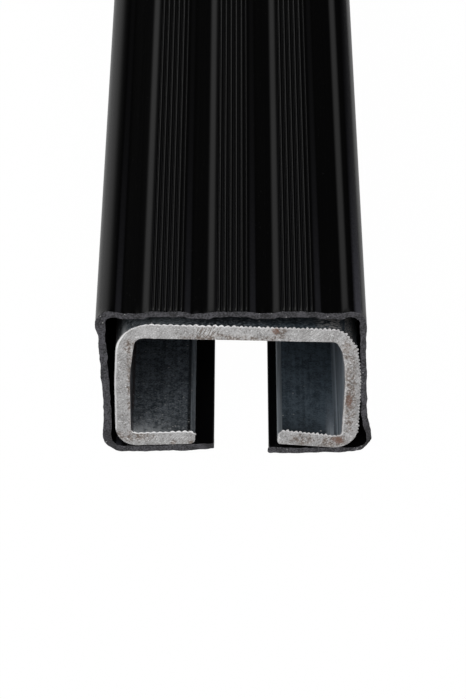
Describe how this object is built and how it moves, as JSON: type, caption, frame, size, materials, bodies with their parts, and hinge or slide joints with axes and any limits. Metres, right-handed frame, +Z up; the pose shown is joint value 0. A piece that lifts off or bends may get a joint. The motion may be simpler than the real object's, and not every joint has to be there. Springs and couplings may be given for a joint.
{
  "type": "roof rack crossbar",
  "caption": "Straight roof rack crossbar: a galvanised steel channel, open below for sliding bolts, inside a black plastic sleeve with a ribbed and grooved top that carries the load.",
  "frame": {"origin": "middle of the underside of the bar, halfway along it", "axes": "+Y along the bar, away from the end that the picture shows; +X to the right seen from that end; +Z up towards the load"},
  "size_m": [0.0332, 1.2, 0.0216],
  "materials": {
    "galvanised_steel": "hot-dip galvanised strip, bare steel where it is sawn",
    "black_plastic": "smooth black extrusion, rough where it is sawn"
  },
  "bodies": {
    "root": {"steel_channel": "galvanised_steel", "plastic_sleeve": "black_plastic"}
  },
  "joints": []
}
